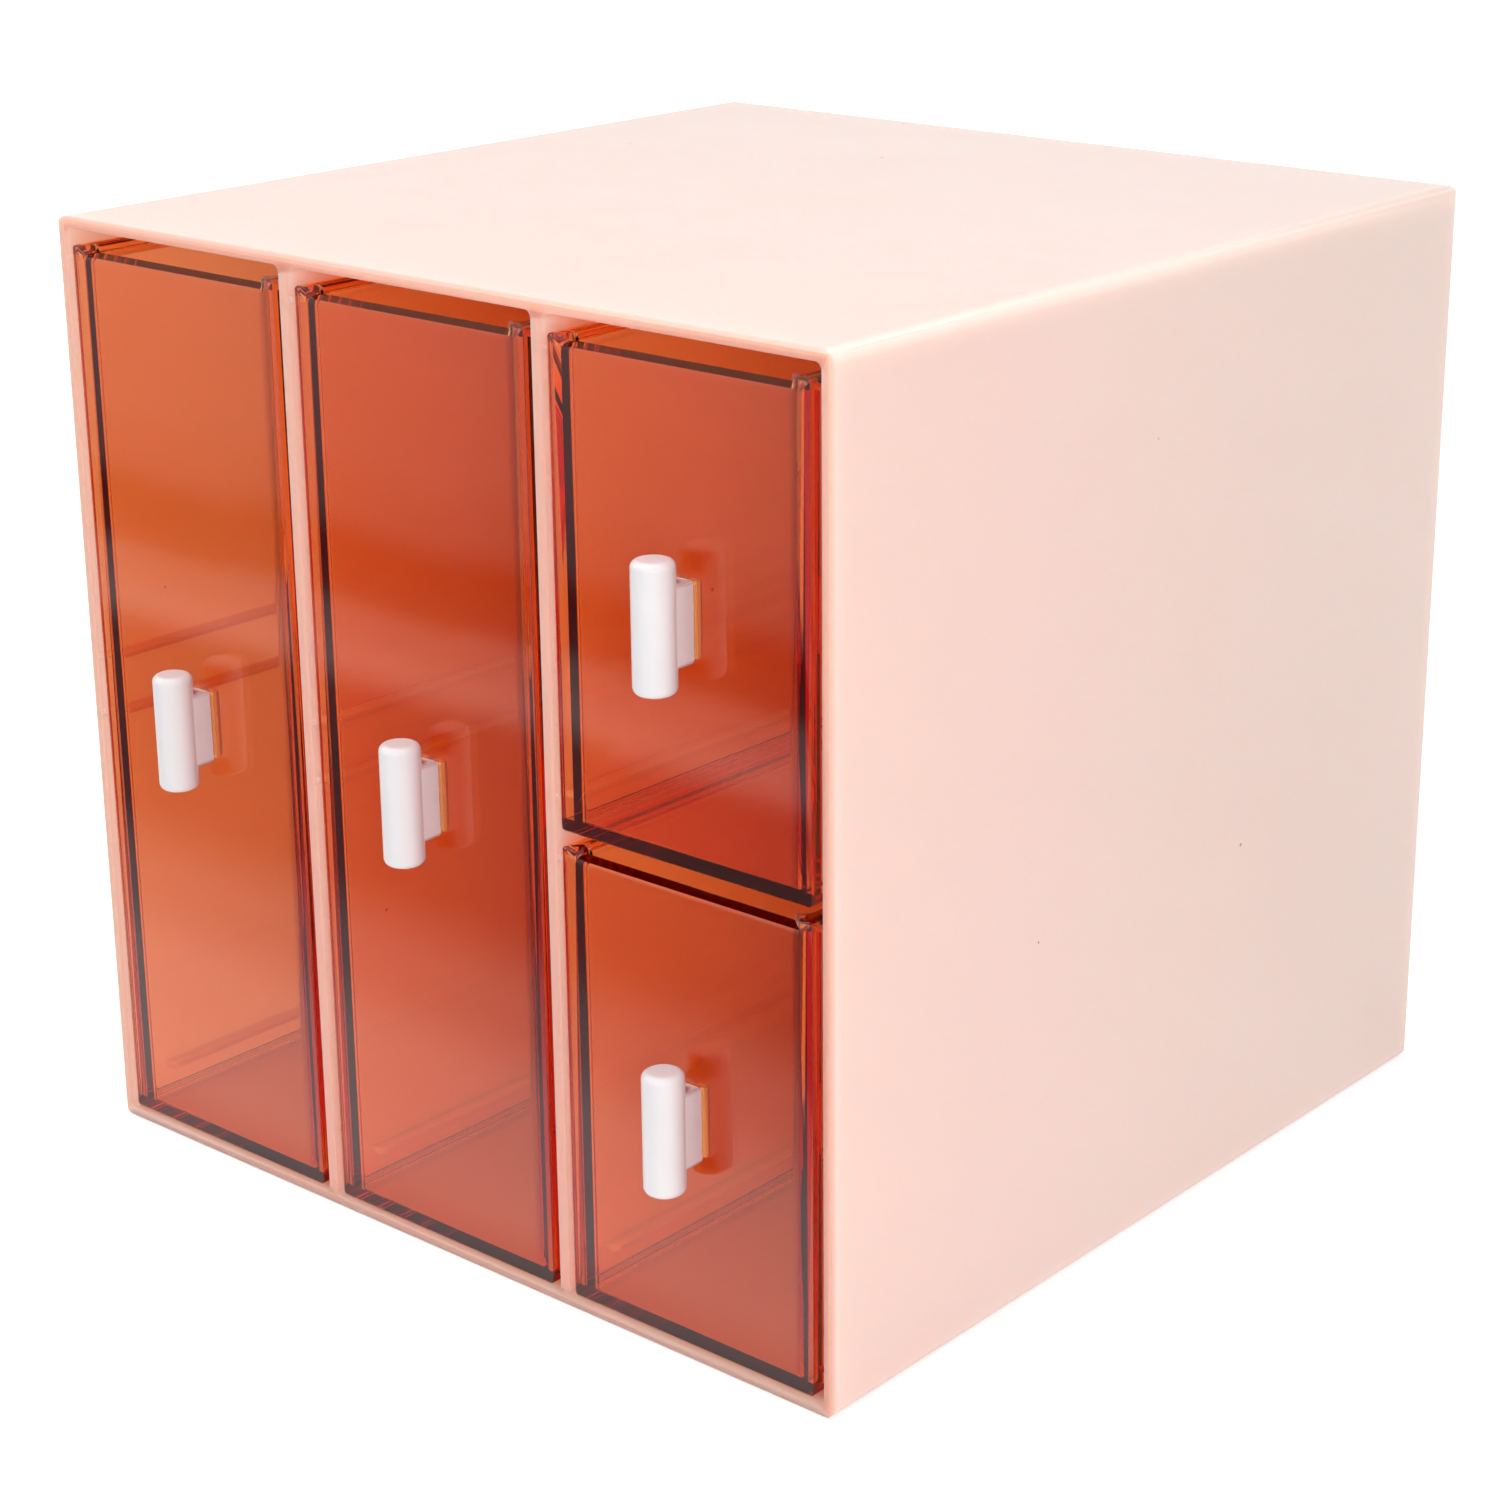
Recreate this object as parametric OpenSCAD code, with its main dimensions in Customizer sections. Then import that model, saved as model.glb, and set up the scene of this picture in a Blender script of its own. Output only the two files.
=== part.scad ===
// Desktop set of mini drawers: a moulded casing with three bays, two tall
// drawers, two half-height drawers stacked in the right bay, and a snap-in
// handle on each drawer. The front faces -Y and the casing stands on Z = 0,
// with the origin under the middle of the casing.

/* [Casing] */
// Outside width of the casing
casing_w = 180; // [160:1:220]
// Outside depth of the casing, front rim to back
casing_d = 183; // [120:1:220]
// Outside height of the casing
casing_h = 177; // [150:1:220]
// Thickness of the casing's walls and dividers
wall = 2; // [1.6:0.1:2.4]
// Radius of the casing's four long edges
long_edge_r = 2.4; // [1.2:0.1:3]
// Radius of the edges round the casing's back
back_edge_r = 1.6; // [0.8:0.1:2.5]
// Rounding of the casing's front rim
rim_r = 0.7; // [0.3:0.1:0.9]
// Radius of the corners inside a bay
bay_r = 1.3; // [0.8:0.1:2]

/* [Guide rails] */
// How far a rail stands out from its wall
rail_out = 2.7; // [2.4:0.1:2.9]
// Height of a rail
rail_h = 1.2; // [0.8:0.1:1.6]
// Rounding of the front end of a rail
rail_end_r = 1.5; // [0.5:0.1:2]
// How far a rail's low nose stands out, beside the edge of a drawer's front
nose_out = 0.5; // [0.3:0.1:0.9]
// Start of a nose behind the casing's front rim
nose_set_back = 0.3; // [0.1:0.1:1]
// Start of the lowest rails, which have no nose, behind the casing's front rim
low_set_back = 9.6; // [4:0.1:20]
// Height of the middle of a guard rail above the underside of its drawer
guard_rise = 5.9; // [4:0.1:8]

/* [Drawers] */
// Gap between a drawer's front and the wall of its bay, on each side
side_gap = 1.5; // [1.3:0.1:2]
// How far the two tall drawers lie to the left in that gap
tall_shift = 0.5; // [0:0.1:0.8]
// How far the two small drawers lie to the left in that gap
small_shift = 0.8; // [0:0.1:0.8]
// Gap under the lowest drawers
floor_gap = 0.4; // [0.3:0.1:1]
// Gap above the highest drawers
top_gap = 3; // [2:0.1:4]
// Gap between the two stacked drawers
stack_gap = 2.4; // [1.5:0.1:4]
// Set-back of the drawers' fronts behind the casing's rim
front_recess = 0.6; // [0.2:0.1:2]
// Gap between a closed drawer and the back wall of its bay
back_gap = 0.4; // [0.3:0.1:2]
// Thickness of a drawer's front
front_t = 1.8; // [1.6:0.1:2.4]
// Thickness of a drawer's side and back walls
side_t = 0.8; // [0.8:0.1:2]
// Thickness of a drawer's floor and lips
floor_t = 2; // [1.6:0.1:2.2]
// How far the front, the lips and the floor stand out past the side walls
lip_out = 2.3; // [2.3:0.1:3]
// Radius of the corners of a drawer's front
front_corner_r = 1.6; // [0.8:0.1:2.5]
// Rounding of the edges of a drawer's front
front_edge_r = 0.45; // [0.3:0.05:0.8]
// How far the front's top, between the side walls, lies below the lips
front_drop = 1.2; // [0:0.1:2]
// Fall of the front's top from its back edge to the bevel at its face
top_fall = 0.8; // [0.3:0.1:1.2]
// Height of that bevel
bevel_h = 0.7; // [0.3:0.1:1]
// Depth of that bevel
bevel_d = 0.35; // [0.2:0.05:0.8]
// Rounding of the inner edges of the lips and of the floor's overhang
lip_edge_r = 0.6; // [0.3:0.1:0.8]
// Inside radius where a drawer's side walls meet its floor
floor_side_r = 1.1; // [0.5:0.1:2]
// Inside radius where its floor meets its front
floor_front_r = 0.6; // [0.3:0.1:2]
// Inside radius where its side walls meet its front
front_side_r = 2.3; // [0.5:0.1:3]
// Outside radius of a drawer's two back corners
back_corner_r = 4.5; // [2.5:0.5:8]

/* [Handles] */
// Diameter of the grip
grip_d = 7.2; // [6:0.1:10]
// Length of the grip
grip_l = 21.8; // [16:0.1:30]
// Rounding of the grip's ends
grip_end_r = 1.3; // [0.5:0.1:2]
// Distance from the drawer's front to the grip's axis
grip_reach = 5.7; // [4.5:0.1:10]
// Width of the stem behind the grip
stem_w = 6.2; // [5.6:0.1:6.6]
// Height of the stem behind the grip
stem_h = 13.9; // [13.4:0.1:16]
// Rounding of the stem's edges
stem_r = 0.7; // [0.3:0.1:1]
// Overall width of the pair of snap legs
legs_w = 5; // [4:0.1:5]
// Height of the snap legs
legs_h = 12.6; // [8:0.1:12.8]
// Thickness of a snap leg
leg_t = 1.5; // [1:0.1:1.7]
// Rounding of the corners at a snap leg's end
leg_end_r = 1.2; // [0.3:0.1:1.5]
// How far the hook down the side of a leg reaches past the edge of the slot
hook_out = 0.5; // [0.3:0.05:0.7]
// Length of the snap hooks behind the drawer's front
hook_l = 2.2; // [1.5:0.1:3]

/* [Hidden] */
$fn = 48;

PINK = [0.95, 0.80, 0.74];
AMBER = [0.84, 0.36, 0.17, 0.7];
WHITE = [0.94, 0.94, 0.95];

slide_play = 0.1;   // between a drawer's lip and the rail that it rides on
leg_play = 0.1;     // between the snap legs and their slot
hook_play = 0.05;   // between the snap hooks and the back of the drawer's front
rail_clear = 1;     // between the back of a drawer's front and the rails behind it
seat_in = 1;        // how far joined shapes run into each other
past = 5;           // how far a cutting shape runs past what it cuts

bays = 3;
bay_w = (casing_w - (bays + 1) * wall) / bays;
bay_h = casing_h - 2 * wall;
rim_y = -casing_d / 2;
bay_back_y = casing_d / 2 - wall;

front_w = bay_w - 2 * side_gap;
front_y = rim_y + front_recess;
drawer_l = bay_back_y - back_gap - front_y;
tub_w = front_w - 2 * lip_out;
tub_l = drawer_l - lip_out;
cavity_w = tub_w - 2 * side_t;

lowest_z = wall + floor_gap;
tall_h = bay_h - floor_gap - top_gap;
small_h = (tall_h - stack_gap) / 2;
upper_z = lowest_z + small_h + stack_gap;
high_set_back = front_recess + front_t + rail_clear;

// Middle of bay i, counted from the left
function bay_x(i) = -casing_w / 2 + wall + bay_w / 2 + i * (bay_w + wall);

// Underside of the rail that the lips of a drawer of height h ride on, and of
// the guard rail above the edge of its floor, for a drawer that stands at z
function lip_rail_z(z, h) = z + h - floor_t - slide_play - rail_h;
function guard_rail_z(z) = z + guard_rise - rail_h / 2;

// Rectangle from corner a to corner b with its own radius at each corner, in
// the order [left bottom, right bottom, right top, left top]; 0 is square
module corner_rect(a, b, r) {
    corners = [[a[0], a[1], 1, 1], [b[0], a[1], -1, 1],
               [b[0], b[1], -1, -1], [a[0], b[1], 1, -1]];
    difference() {
        translate(a) square(b - a);
        for (i = [0:3]) if (r[i] > 0) let (c = corners[i])
            translate([c[0], c[1]]) mirror([c[2] < 0 ? 1 : 0, 0]) mirror([0, c[3] < 0 ? 1 : 0])
                difference() {
                    translate([-past, -past]) square(r[i] + past);
                    translate([r[i], r[i]]) circle(r[i]);
                }
    }
}

// Solid between corners lo and hi whose edges are rounded three ways: r_front
// for its outline seen from the front (X and Z), r_plan seen from above
// (X and Y) and r_side seen from the side (Y and Z)
module profiled_block(lo, hi, r_front, r_plan, r_side) {
    intersection() {
        translate([0, hi[1] + past, 0]) rotate([90, 0, 0])
            linear_extrude(hi[1] - lo[1] + 2 * past)
                corner_rect([lo[0], lo[2]], [hi[0], hi[2]], r_front);
        translate([0, 0, lo[2] - past])
            linear_extrude(hi[2] - lo[2] + 2 * past)
                corner_rect([lo[0], lo[1]], [hi[0], hi[1]], r_plan);
        translate([lo[0] - past, 0, 0]) rotate([90, 0, 90])
            linear_extrude(hi[0] - lo[0] + 2 * past)
                corner_rect([lo[1], lo[2]], [hi[1], hi[2]], r_side);
    }
}

// Bar along a wall whose face is X = 0, from set_back behind the casing's rim
// to its back, with a rounded front end
module rail(set_back, out, end_r) {
    linear_extrude(rail_h)
        corner_rect([-wall / 2, rim_y + set_back], [out, bay_back_y + wall / 2],
                    [0, end_r, 0, 0]);
}

// The rails on one wall of a bay. All but the lowest start with a low nose
// that passes beside the edge of the drawer's front.
module wall_rails() {
    translate([0, 0, guard_rail_z(lowest_z)]) rail(low_set_back, rail_out, rail_end_r);
    for (z = [lip_rail_z(lowest_z, small_h), guard_rail_z(upper_z), lip_rail_z(upper_z, small_h)])
        translate([0, 0, z]) {
            rail(high_set_back, rail_out, rail_end_r);
            rail(nose_set_back, nose_out, nose_out);
        }
}

module casing() {
    color(PINK) union() {
        difference() {
            profiled_block([-casing_w / 2, rim_y, 0], [casing_w / 2, casing_d / 2, casing_h],
                           long_edge_r * [1, 1, 1, 1],
                           [rim_r, rim_r, back_edge_r, back_edge_r],
                           [rim_r, back_edge_r, back_edge_r, rim_r]);
            for (i = [0:bays - 1])
                translate([bay_x(i), bay_back_y, 0]) rotate([90, 0, 0])
                    linear_extrude(casing_d)
                        corner_rect([-bay_w / 2, wall], [bay_w / 2, casing_h - wall],
                                    bay_r * [1, 1, 1, 1]);
        }
        for (i = [0:bays - 1]) for (side = [0, 1])
            translate([bay_x(i), 0, 0]) mirror([side, 0, 0])
                translate([-bay_w / 2, 0, 0]) wall_rails();
    }
}

// A drawer of height h, in its own frame: the middle of the bottom edge of its
// front's face is the origin. The lips on the side walls ride on the rails, and
// the floor runs on past the walls under the guard rails.
module drawer(h) {
    lip_corner_r = back_corner_r + lip_out;
    cavity_corner_r = back_corner_r - side_t;
    color(AMBER) difference() {
        union() {
            profiled_block([-front_w / 2, 0, 0], [front_w / 2, front_t, h],
                           front_corner_r * [1, 1, 1, 1],
                           [front_edge_r, front_edge_r, 0, 0],
                           [front_edge_r, 0, 0, front_edge_r]);
            profiled_block([-tub_w / 2, seat_in, 0], [tub_w / 2, tub_l, h],
                           [0, 0, 0, 0], [0, 0, back_corner_r, back_corner_r],
                           [0, floor_side_r, 0, 0]);
            profiled_block([-front_w / 2, seat_in, 0], [front_w / 2, tub_l, floor_t],
                           [front_corner_r, front_corner_r, lip_edge_r, lip_edge_r],
                           [0, 0, lip_corner_r, lip_corner_r], [0, floor_side_r, 0, 0]);
            profiled_block([-front_w / 2, seat_in, h - floor_t], [front_w / 2, drawer_l, h],
                           [lip_edge_r, lip_edge_r, front_corner_r, front_corner_r],
                           [0, 0, lip_corner_r, lip_corner_r], [0, 0, 0, 0]);
        }
        profiled_block([-cavity_w / 2, front_t, floor_t], [cavity_w / 2, tub_l - side_t, h + past],
                       [floor_side_r, floor_side_r, 0, 0],
                       [front_side_r, front_side_r, cavity_corner_r, cavity_corner_r],
                       [floor_front_r, cavity_corner_r, 0, 0]);
        translate([-cavity_w / 2, 0, h - front_drop]) rotate([90, 0, 90]) linear_extrude(cavity_w)
            polygon([[-past, -top_fall - bevel_h], [0, -top_fall - bevel_h], [bevel_d, -top_fall],
                     [front_t, 0], [front_t, past], [-past, past]]);
        translate([0, past, h / 2]) rotate([90, 0, 0]) linear_extrude(2 * past)
            corner_rect([-legs_w / 2 - leg_play, -legs_h / 2 - leg_play],
                        [legs_w / 2 + leg_play, legs_h / 2 + leg_play], stem_r * [1, 1, 1, 1]);
    }
}

// The right one of the two snap legs, with the hook down its outer side
module snap_leg() {
    hook_y = front_t + hook_play;
    end_y = hook_y + hook_l;
    outer_x = legs_w / 2;
    intersection() {
        translate([0, 0, -legs_h / 2]) linear_extrude(legs_h)
            polygon([[outer_x - leg_t, -seat_in], [outer_x, -seat_in], [outer_x, hook_y],
                     [outer_x + hook_out, hook_y], [outer_x + hook_out, hook_y + hook_l / 3],
                     [outer_x - leg_t / 3, end_y], [outer_x - leg_t, end_y]]);
        rotate([90, 0, 90]) linear_extrude(outer_x + past)
            corner_rect([-2 * seat_in, -legs_h / 2], [end_y, legs_h / 2],
                        [0, leg_end_r, leg_end_r, 0]);
    }
}

// A handle in its own frame: the origin is the middle of its stem's foot, which
// seats on the drawer's front, with the grip in front of it
module handle() {
    color(WHITE) union() {
        translate([0, -grip_reach, -grip_l / 2]) rotate_extrude()
            corner_rect([0, 0], [grip_d / 2, grip_l], [0, grip_end_r, grip_end_r, 0]);
        profiled_block([-stem_w / 2, -grip_reach, -stem_h / 2], [stem_w / 2, 0, stem_h / 2],
                       stem_r * [1, 1, 1, 1], [0, 0, 0, 0], [0, stem_r, stem_r, 0]);
        snap_leg();
        mirror([1, 0, 0]) snap_leg();
    }
}

// Places its children on the front of the drawer that stands at z in a bay
module in_bay(bay, shift, z) {
    translate([bay_x(bay) - shift, front_y, z]) children();
}

module left_drawer() { in_bay(0, tall_shift, lowest_z) drawer(tall_h); }
module middle_drawer() { in_bay(1, tall_shift, lowest_z) drawer(tall_h); }
module upper_right_drawer() { in_bay(2, small_shift, upper_z) drawer(small_h); }
module lower_right_drawer() { in_bay(2, small_shift, lowest_z) drawer(small_h); }

module left_handle() { in_bay(0, tall_shift, lowest_z + tall_h / 2) handle(); }
module middle_handle() { in_bay(1, tall_shift, lowest_z + tall_h / 2) handle(); }
module upper_right_handle() { in_bay(2, small_shift, upper_z + small_h / 2) handle(); }
module lower_right_handle() { in_bay(2, small_shift, lowest_z + small_h / 2) handle(); }

casing();
left_drawer();
middle_drawer();
upper_right_drawer();
lower_right_drawer();
left_handle();
middle_handle();
upper_right_handle();
lower_right_handle();
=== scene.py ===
"""Desktop mini drawers: a translucent pale pink casing, see-through amber drawers and white handles.

The camera and the light come first, then the finishes, then the pieces that wear them.
"""
from math import radians

import bmesh
import bpy
import numpy as np
from mathutils import Matrix, Vector


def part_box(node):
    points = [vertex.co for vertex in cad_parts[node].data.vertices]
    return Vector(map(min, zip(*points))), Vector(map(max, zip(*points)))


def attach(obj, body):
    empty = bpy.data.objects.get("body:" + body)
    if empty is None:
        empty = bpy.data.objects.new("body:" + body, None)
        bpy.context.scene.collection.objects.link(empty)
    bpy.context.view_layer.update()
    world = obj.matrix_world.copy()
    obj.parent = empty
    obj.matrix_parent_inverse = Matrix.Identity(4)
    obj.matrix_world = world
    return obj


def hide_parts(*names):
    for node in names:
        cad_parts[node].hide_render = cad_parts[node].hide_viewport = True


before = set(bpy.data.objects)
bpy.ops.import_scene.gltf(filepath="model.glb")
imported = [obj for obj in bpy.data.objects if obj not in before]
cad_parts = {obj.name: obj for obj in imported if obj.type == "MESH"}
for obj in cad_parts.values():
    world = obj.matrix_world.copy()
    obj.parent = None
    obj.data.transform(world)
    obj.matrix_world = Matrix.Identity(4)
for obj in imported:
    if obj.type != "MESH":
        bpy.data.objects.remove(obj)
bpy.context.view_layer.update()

MM = 0.001

# Camera, fitted to the corners of the casing in the photograph. The closest fit has a shift of about
# -0.3 both ways; this one is held to a tenth of that, so that the object stays in frame from all sides.
EYE = (382.61 * MM, -445.53 * MM, 277.87 * MM)
AZIMUTH, ELEVATION, ROLL = 40.275, 18.702, -0.302
LENS = 77.514
SHIFT = (-0.0301, -0.0278)

RIM_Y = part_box("casing")[0].y       # plane of the casing's open front


def make_camera():
    """The photograph's viewpoint: turned by AZIMUTH about Z, tipped down by ELEVATION, then rolled."""
    lens = bpy.data.cameras.new("camera")
    lens.lens = LENS
    lens.shift_x, lens.shift_y = SHIFT
    lens.clip_start, lens.clip_end = 0.01, 40
    camera = bpy.data.objects.new("camera", lens)
    bpy.context.scene.collection.objects.link(camera)
    turn = Matrix.Rotation(radians(AZIMUTH), 4, "Z")
    tip = Matrix.Rotation(radians(90 - ELEVATION), 4, "X")
    roll = Matrix.Rotation(radians(ROLL), 4, "Z")
    camera.matrix_world = Matrix.Translation(EYE) @ turn @ tip @ roll
    bpy.context.scene.camera = camera


# ---------------------------------------------------------------- light

AIM = (0, 0, 90 * MM)
WORLD_LEVEL = 0.40          # how much the surroundings light the object
WORLD_SEEN = 1.0            # how bright they are to the camera, in gloss and through the drawers
# place, width and height in metres, power in watts
SOFTBOXES = {
    "top": ((0.10, -0.10, 1.80), (1.6, 1.6), 23),
    "right": ((1.65, 0.45, 0.55), (1.3, 1.0), 8.6),
    "camera_side": ((1.05, -1.45, 0.50), (1.2, 1.0), 13.6),
    "upper_left": ((-1.15, -0.35, 1.25), (0.8, 0.8), 5.5),
}
# Low softboxes, whose reflection would turn the casing's top white when seen from behind
UNMIRRORED = ("right", "camera_side")


def make_lamps():
    """Soft rectangular lamps, all turned towards the middle of the object."""
    for name, (place, size, power) in SOFTBOXES.items():
        lamp = bpy.data.lights.new(name, "AREA")
        lamp.shape = "RECTANGLE"
        lamp.size, lamp.size_y = size
        lamp.energy = power
        softbox = bpy.data.objects.new(name, lamp)
        bpy.context.scene.collection.objects.link(softbox)
        facing = (Vector(AIM) - Vector(place)).to_track_quat("-Z", "Y").to_matrix().to_4x4()
        softbox.matrix_world = Matrix.Translation(place) @ facing
        softbox.visible_glossy = name not in UNMIRRORED


def ray_is(tree, *kinds):
    """Output that is 1 for rays of these kinds, named as on the Light Path node, and 0 for others."""
    path = tree.nodes.new("ShaderNodeLightPath")
    either = path.outputs[kinds[0]]
    for kind in kinds[1:]:
        step = tree.nodes.new("ShaderNodeMath")
        step.operation = "MAXIMUM"
        tree.links.new(either, step.inputs[0])
        tree.links.new(path.outputs[kind], step.inputs[1])
        either = step.outputs[0]
    return either


def make_world():
    """White to the camera, in gloss and through the drawers, and dimmer as a light."""
    world = bpy.data.worlds.new("world")
    bpy.context.scene.world = world
    world.use_nodes = True
    tree = world.node_tree
    seen = ray_is(tree, "Is Camera Ray", "Is Glossy Ray", "Is Transmission Ray")
    level = tree.nodes.new("ShaderNodeMapRange")
    level.inputs["To Min"].default_value = WORLD_LEVEL
    level.inputs["To Max"].default_value = WORLD_SEEN
    tree.links.new(seen, level.inputs["Value"])
    background = tree.nodes["Background"]
    background.inputs["Color"].default_value = (1, 1, 1, 1)
    tree.links.new(level.outputs[0], background.inputs["Strength"])


def set_bounces():
    """Enough bounces for light to pass the drawers' walls many times and to fill the bays."""
    cycles = bpy.context.scene.cycles
    cycles.max_bounces, cycles.diffuse_bounces, cycles.glossy_bounces = 18, 8, 10
    cycles.transmission_bounces = 14
    cycles.transparent_max_bounces = 32
    cycles.caustics_reflective = False
    cycles.caustics_refractive = False


# ---------------------------------------------------------------- floor

FLOOR_REACH = 14.0
PAPER = (0.85, 0.85, 0.85, 1)
FLOOR_WHITE_FROM, FLOOR_WHITE_TO = 0.16, 0.75   # distances over which the floor turns pure white
FLOOR_GLOW = 0.42                               # the floor's own light to the camera beside the object
# What the polished fronts mirror: (distance in front of them in metres, brightness of the floor there).
# Tuned for the photograph's view; over 1 is brighter than white.
MIRRORED_FLOOR = [(0.00, 0.9), (0.018, 1.4), (0.05, 1.3), (0.08, 0.8), (0.12, 0.25), (0.20, 0.25),
                  (0.225, 0.95), (0.25, 0.70), (0.275, 0.15), (0.30, 0.10), (0.34, 0.45),
                  (0.40, 0.60), (0.60, 0.70)]
BRIGHTEST = 3.0                                 # what the colour ramp's full white stands for


def make_floor():
    """A white floor that keeps the object's shadow and turns pure white further out.

    Glossy rays see soft bands of light on it in its place.
    """
    s = FLOOR_REACH
    mesh = bpy.data.meshes.new("floor")
    mesh.from_pydata([(-s, -s, 0), (s, -s, 0), (s, s, 0), (-s, s, 0)], [], [(0, 1, 2, 3)])
    floor = bpy.data.objects.new("floor", mesh)
    bpy.context.scene.collection.objects.link(floor)

    material, tree, _ = new_material("floor_paper")
    nodes, links = tree.nodes, tree.links
    place = nodes.new("ShaderNodeTexCoord").outputs["Object"]
    paper = nodes.new("ShaderNodeBsdfDiffuse")
    paper.inputs["Color"].default_value = PAPER

    reach = nodes.new("ShaderNodeVectorMath")
    reach.operation = "LENGTH"
    links.new(place, reach.inputs[0])
    whiter = nodes.new("ShaderNodeMapRange")
    whiter.interpolation_type = "SMOOTHSTEP"
    whiter.inputs["From Min"].default_value = FLOOR_WHITE_FROM
    whiter.inputs["From Max"].default_value = FLOOR_WHITE_TO
    whiter.inputs["To Min"].default_value = FLOOR_GLOW
    whiter.inputs["To Max"].default_value = 1
    links.new(reach.outputs["Value"], whiter.inputs["Value"])
    glow = nodes.new("ShaderNodeMath")
    glow.operation = "MULTIPLY"
    links.new(whiter.outputs[0], glow.inputs[0])
    links.new(ray_is(tree, "Is Camera Ray", "Is Transmission Ray"), glow.inputs[1])
    white = nodes.new("ShaderNodeEmission")
    links.new(glow.outputs[0], white.inputs["Strength"])
    lit = nodes.new("ShaderNodeAddShader")
    links.new(paper.outputs[0], lit.inputs[0])
    links.new(white.outputs[0], lit.inputs[1])

    apart = nodes.new("ShaderNodeSeparateXYZ")
    links.new(place, apart.inputs[0])
    ahead = nodes.new("ShaderNodeMapRange")
    ahead.inputs["From Min"].default_value = RIM_Y
    ahead.inputs["From Max"].default_value = RIM_Y - MIRRORED_FLOOR[-1][0]
    links.new(apart.outputs["Y"], ahead.inputs["Value"])
    bands = nodes.new("ShaderNodeValToRGB")
    bands.color_ramp.interpolation = "EASE"
    bands.color_ramp.elements.remove(bands.color_ramp.elements[0])
    for i, (distance, brightness) in enumerate(MIRRORED_FLOOR):
        at = distance / MIRRORED_FLOOR[-1][0]
        stop = bands.color_ramp.elements.new(at) if i else bands.color_ramp.elements[0]
        stop.position = at
        stop.color = (*[brightness / BRIGHTEST] * 3, 1)
    links.new(ahead.outputs[0], bands.inputs[0])
    mirrored = nodes.new("ShaderNodeEmission")
    mirrored.inputs["Strength"].default_value = BRIGHTEST
    links.new(bands.outputs[0], mirrored.inputs["Color"])

    mix = nodes.new("ShaderNodeMixShader")
    links.new(ray_is(tree, "Is Glossy Ray"), mix.inputs[0])
    links.new(lit.outputs[0], mix.inputs[1])
    links.new(mirrored.outputs[0], mix.inputs[2])
    links.new(mix.outputs[0], nodes["Material Output"].inputs["Surface"])
    mesh.materials.append(material)


# ---------------------------------------------------------------- finishes

RIM_SHADE = (0.86, 0.41, 0.33, 1)
RIM_SHADE_DEPTHS = (0.1 * MM, 0.9 * MM)     # behind the front plane: full at the first, gone at the second
SPECK_SHADE = (0.42, 0.26, 0.23, 1)
SPECKS_PER_METRE, SPECK_SIZE = 55, 0.7 * MM
AMBER_BODY = (0.55, 0.05, 0.035, 1)
AMBER_BODY_SHARE = 0.012


def new_material(name):
    """(material, its node tree, its Principled shader)"""
    material = bpy.data.materials.new(name)
    material.use_nodes = True
    return material, material.node_tree, material.node_tree.nodes["Principled BSDF"]


def cloudy(tree, scale, low, high):
    """Output that drifts between low and high with a noise of so many waves per metre."""
    nodes, links = tree.nodes, tree.links
    noise = nodes.new("ShaderNodeTexNoise")
    noise.inputs["Scale"].default_value = scale
    noise.inputs["Detail"].default_value = 3
    links.new(nodes.new("ShaderNodeTexCoord").outputs["Object"], noise.inputs["Vector"])
    spread = nodes.new("ShaderNodeMapRange")
    spread.inputs["From Min"].default_value = 0.3
    spread.inputs["From Max"].default_value = 0.7
    spread.inputs["To Min"].default_value = low
    spread.inputs["To Max"].default_value = high
    links.new(noise.outputs["Fac"], spread.inputs["Value"])
    return spread.outputs[0]


def blend(tree, first, second, factor):
    """Colour output between first, itself a colour or an output, and the colour second."""
    mix = tree.nodes.new("ShaderNodeMix")
    mix.data_type = "RGBA"
    if isinstance(first, tuple):
        mix.inputs["A"].default_value = first
    else:
        tree.links.new(first, mix.inputs["A"])
    mix.inputs["B"].default_value = second
    tree.links.new(factor, mix.inputs["Factor"])
    return mix.outputs["Result"]


def speck(tree, cells, size):
    """Output that is 1 in a few dots up to size metres across and 0 elsewhere, from cells chances per metre.

    A dot is where a point of the Voronoi pattern lies within half of size.
    """
    nodes, links = tree.nodes, tree.links
    scatter = nodes.new("ShaderNodeTexVoronoi")
    scatter.inputs["Scale"].default_value = cells
    links.new(nodes.new("ShaderNodeTexCoord").outputs["Object"], scatter.inputs["Vector"])
    near = nodes.new("ShaderNodeMath")
    near.operation = "LESS_THAN"
    near.inputs[1].default_value = size * cells / 2
    links.new(scatter.outputs["Distance"], near.inputs[0])
    return near.outputs[0]


def at_rim(tree):
    """Output that is 1 on the casing's front rims and falls to 0 within a millimetre behind them."""
    apart = tree.nodes.new("ShaderNodeSeparateXYZ")
    tree.links.new(tree.nodes.new("ShaderNodeTexCoord").outputs["Object"], apart.inputs[0])
    fall = tree.nodes.new("ShaderNodeMapRange")
    full, gone = RIM_SHADE_DEPTHS
    fall.inputs["From Min"].default_value = RIM_Y + gone
    fall.inputs["From Max"].default_value = RIM_Y + full
    tree.links.new(apart.outputs["Y"], fall.inputs["Value"])
    return fall.outputs[0]


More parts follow.
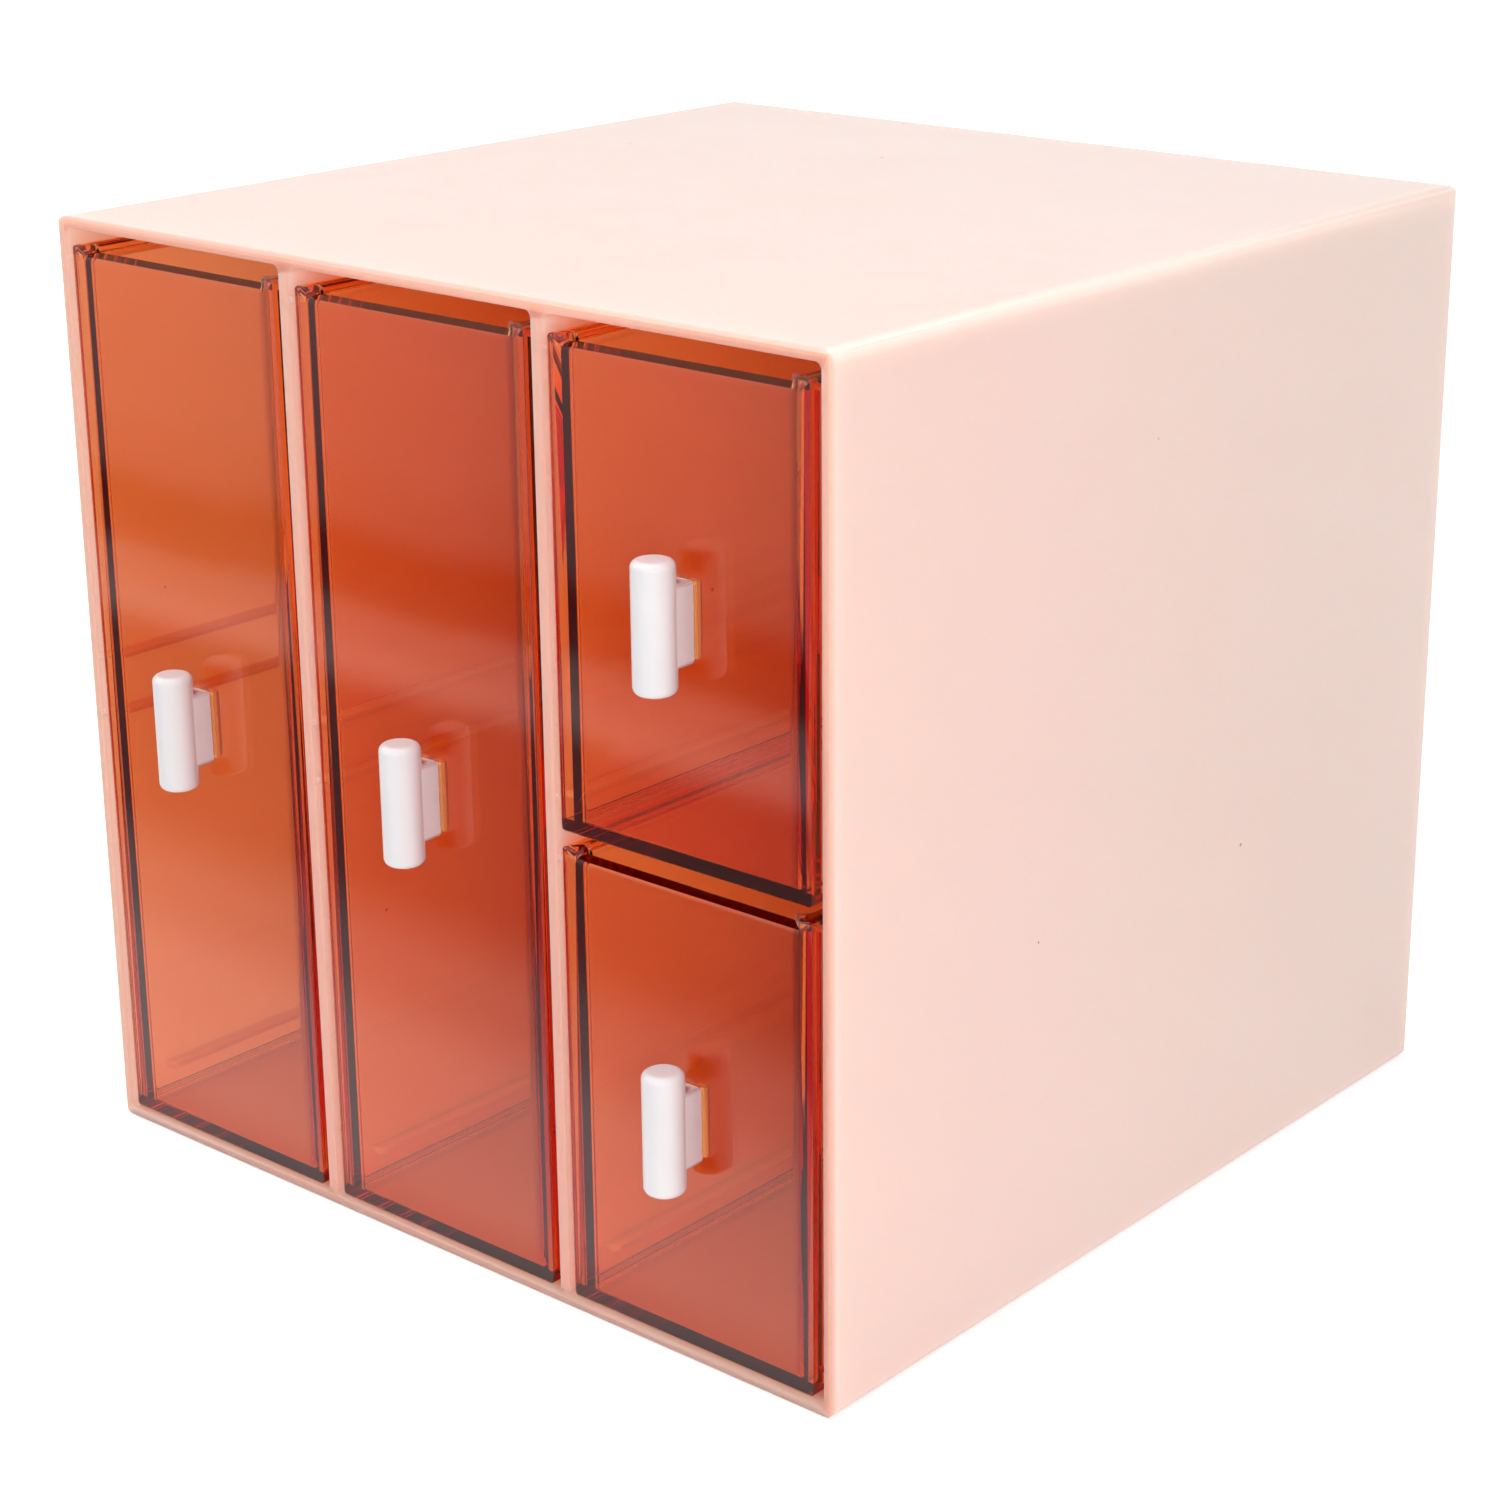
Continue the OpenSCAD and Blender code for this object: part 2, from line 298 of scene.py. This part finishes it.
def casing_plastic():
    """Satin, slightly translucent pale pink polypropylene, a little uneven, with a few specks.

    The front rims, only a wall thick, are painted deeper in shade, which stands in for the amber light
    that shines through them.
    """
    material, tree, shader = new_material("casing_plastic")
    pink = blend(tree, (0.970, 0.588, 0.522, 1), (0.973, 0.606, 0.542, 1), cloudy(tree, 14, 0, 1))
    rimmed = blend(tree, pink, RIM_SHADE, at_rim(tree))
    specked = blend(tree, rimmed, SPECK_SHADE, speck(tree, SPECKS_PER_METRE, SPECK_SIZE))
    tree.links.new(specked, shader.inputs["Base Color"])
    tree.links.new(cloudy(tree, 60, 0.34, 0.42), shader.inputs["Roughness"])
    shader.inputs["IOR"].default_value = 1.49
    shader.inputs["Subsurface Weight"].default_value = 1
    shader.inputs["Subsurface Radius"].default_value = (1.0, 0.65, 0.55)
    shader.inputs["Subsurface Scale"].default_value = 0.010
    return material


def amber_plastic():
    """Polished clear amber polystyrene: its colour comes from the thickness that light passes."""
    material, tree, shader = new_material("amber_plastic")
    nodes, links = tree.nodes, tree.links
    shader.inputs["Base Color"].default_value = (1, 0.93, 0.87, 1)
    links.new(cloudy(tree, 30, 0.0, 0.012), shader.inputs["Roughness"])
    shader.inputs["IOR"].default_value = 1.55
    shader.inputs["Transmission Weight"].default_value = 1
    absorb = nodes.new("ShaderNodeVolumeAbsorption")
    absorb.inputs["Color"].default_value = (0.982, 0.63, 0.10, 1)
    absorb.inputs["Density"].default_value = 500
    links.new(absorb.outputs[0], nodes["Material Output"].inputs["Volume"])
    # a breath of body colour keeps the deepest parts maroon
    body = nodes.new("ShaderNodeBsdfDiffuse")
    body.inputs["Color"].default_value = AMBER_BODY
    tinted = nodes.new("ShaderNodeMixShader")
    tinted.inputs[0].default_value = AMBER_BODY_SHARE
    links.new(shader.outputs[0], tinted.inputs[1])
    links.new(body.outputs[0], tinted.inputs[2])
    # lamps and the light between surfaces shine straight through, coloured by the thickness alone
    clear = nodes.new("ShaderNodeBsdfTransparent")
    clear.inputs["Color"].default_value = (0.99, 0.97, 0.95, 1)
    mix = nodes.new("ShaderNodeMixShader")
    links.new(ray_is(tree, "Is Shadow Ray", "Is Diffuse Ray"), mix.inputs[0])
    links.new(tinted.outputs[0], mix.inputs[1])
    links.new(clear.outputs[0], mix.inputs[2])
    links.new(mix.outputs[0], nodes["Material Output"].inputs["Surface"])
    return material


def handle_plastic():
    """Satin white plastic with a cool tinge."""
    material, tree, shader = new_material("handle_plastic")
    white = blend(tree, (0.73, 0.71, 0.72, 1), (0.755, 0.735, 0.745, 1), cloudy(tree, 90, 0, 1))
    tree.links.new(white, shader.inputs["Base Color"])
    tree.links.new(cloudy(tree, 200, 0.28, 0.36), shader.inputs["Roughness"])
    shader.inputs["IOR"].default_value = 1.46
    return material


# ---------------------------------------------------------------- pieces

SMOOTH_UP_TO = radians(32)      # faces that meet at less than this are one rounded surface


def dressed(name, body, material):
    """A copy of a CAD node with its triangles joined and its roundings shaded smooth, in its finish.

    Points within a micrometre become one, edges sharper than SMOOTH_UP_TO stay sharp, and the flat
    faces, being the largest, set the normals along their edges.
    """
    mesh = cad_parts[name].data.copy()
    joined = bmesh.new()
    joined.from_mesh(mesh)
    bmesh.ops.remove_doubles(joined, verts=joined.verts, dist=MM / 1000)
    joined.to_mesh(mesh)
    joined.free()
    mesh.polygons.foreach_set("use_smooth", np.ones(len(mesh.polygons), bool))
    mesh.set_sharp_from_angle(angle=SMOOTH_UP_TO)
    mesh.materials.clear()
    mesh.materials.append(material)
    piece = bpy.data.objects.new(name + "_body", mesh)
    bpy.context.scene.collection.objects.link(piece)
    even = piece.modifiers.new("flat_faces_first", "WEIGHTED_NORMAL")
    even.keep_sharp, even.weight = True, 100
    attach(piece, body)
    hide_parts(name)
    return piece


make_camera()
make_lamps()
make_world()
make_floor()
set_bounces()

FINISHES = {"casing": casing_plastic(), "drawer": amber_plastic(), "handle": handle_plastic()}
for node_name, cad_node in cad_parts.items():
    kind = node_name.split("_")[-1]
    for material_slot in cad_node.material_slots:
        material_slot.material = FINISHES[kind]
    dressed(node_name, node_name.replace("_handle", "_drawer"), FINISHES[kind])

bpy.context.scene.view_settings.view_transform = "Standard"
